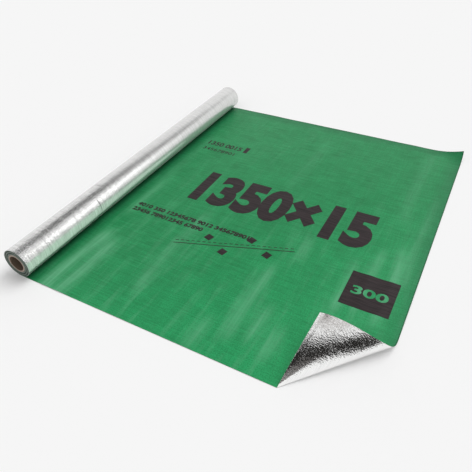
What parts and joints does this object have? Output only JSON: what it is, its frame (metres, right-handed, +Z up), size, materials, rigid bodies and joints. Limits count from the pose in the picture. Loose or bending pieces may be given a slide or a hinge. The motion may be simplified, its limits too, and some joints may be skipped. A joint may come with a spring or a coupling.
{
  "type": "roll of reflective roof membrane",
  "caption": "Roll of foil-faced woven roof membrane on a cardboard tube, with its free end laid out flat, one corner folded back and one slightly lifted.",
  "frame": {"origin": "on the floor, under the middle of the bounding box", "axes": "+Y along the roll and its tube, +X along the laid-out sheet away from the roll, +Z up"},
  "size_m": [1.1504, 1.35, 0.0992],
  "materials": {
    "membrane": "woven membrane, green coated upper face, bright foil underside",
    "cardboard": "spirally wound paper tube, matt"
  },
  "bodies": {
    "root": {"membrane": "membrane", "core_tube": "cardboard"}
  },
  "joints": []
}
